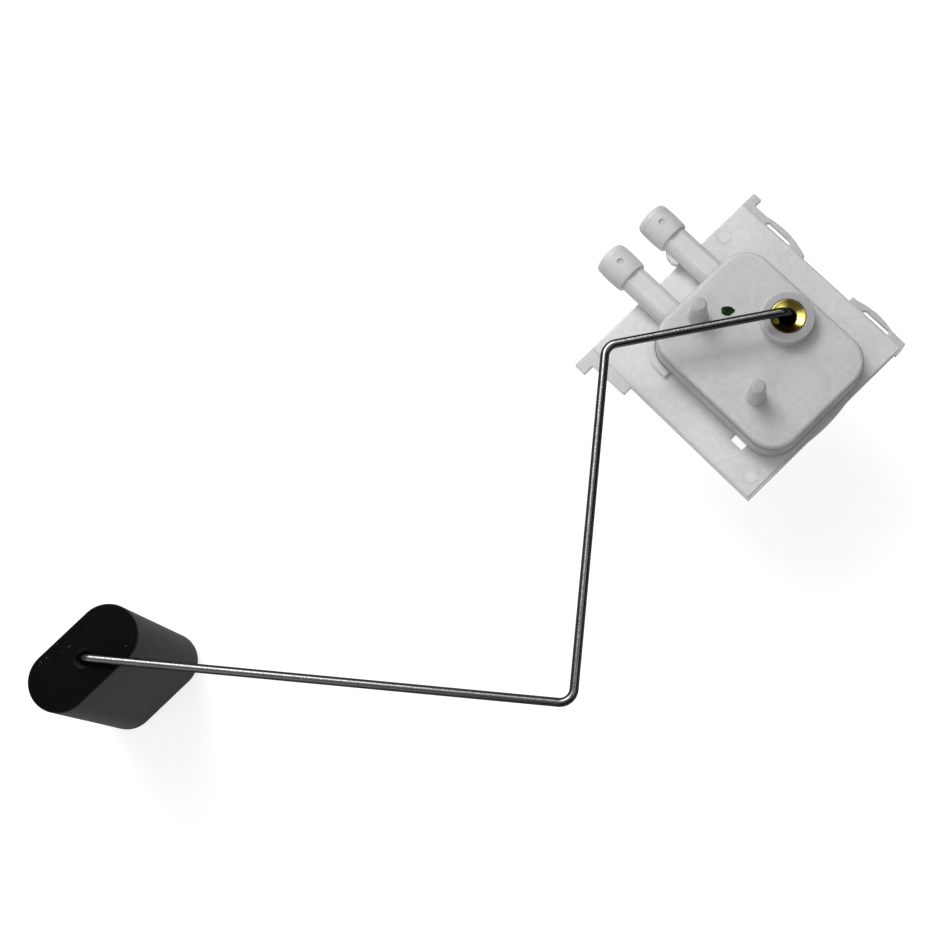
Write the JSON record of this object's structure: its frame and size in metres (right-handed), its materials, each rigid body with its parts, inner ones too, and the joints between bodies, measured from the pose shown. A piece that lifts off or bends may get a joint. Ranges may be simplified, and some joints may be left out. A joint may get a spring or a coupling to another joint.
{
  "type": "fuel level sender",
  "caption": "Fuel level sender: white moulded plate with a closed card housing, terminal sleeves and stop pegs, a bent wire arm in a brass bush and a black float.",
  "frame": {"origin": "on the plate's back face, on the arm's pivot axis", "axes": "+X to the plate's sprung edge, +Y to the terminal sleeves, +Z out of the cover along the pivot axis"},
  "size_m": [0.2317, 0.1039, 0.0691],
  "materials": {
    "acetal": "natural white moulded acetal, satin",
    "brass": "turned brass",
    "ceramic": "fired alumina",
    "resistive_ink": "printed resistive ink",
    "silver_ink": "printed silver ink",
    "tinned_bronze": "tinned bronze",
    "steel_wire": "drawn stainless wire",
    "spring_steel": "spring steel",
    "rotor_plastic": "moulded acetal",
    "contact_alloy": "precious metal contact alloy",
    "nitrile_foam": "closed-cell black nitrile, moulded skin"
  },
  "bodies": {
    "housing": {"carrier": "acetal", "cover": "acetal", "brass_bush": "brass", "resistor_card": "ceramic", "resistor_track": "resistive_ink", "collector_track": "silver_ink", "solder_pad_1": "silver_ink", "solder_pad_2": "silver_ink", "contact_strip_1": "tinned_bronze", "contact_strip_2": "tinned_bronze", "terminal_pin_1": "tinned_bronze", "terminal_pin_2": "tinned_bronze"},
    "arm": {"float_arm": "steel_wire", "thrust_washer": "spring_steel", "wave_washer": "spring_steel", "spindle_clip": "spring_steel", "wiper_rotor": "rotor_plastic", "wiper_spring": "spring_steel", "contact_button_1": "contact_alloy", "contact_button_2": "contact_alloy", "float_clip": "spring_steel"},
    "float": {"float": "nitrile_foam"}
  },
  "joints": [
    {"name": "arm_pivot", "type": "hinge", "parent": "housing", "child": "arm", "pos_m": [0, 0, 0.015], "axis": [0, 0, 1], "range_deg": [-6, 47.4]},
    {"name": "float_spin", "type": "hinge", "parent": "arm", "child": "float", "pos_m": [-0.19242, 0.06308, 0.018], "axis": [0, 0, 1], "continuous": true}
  ]
}
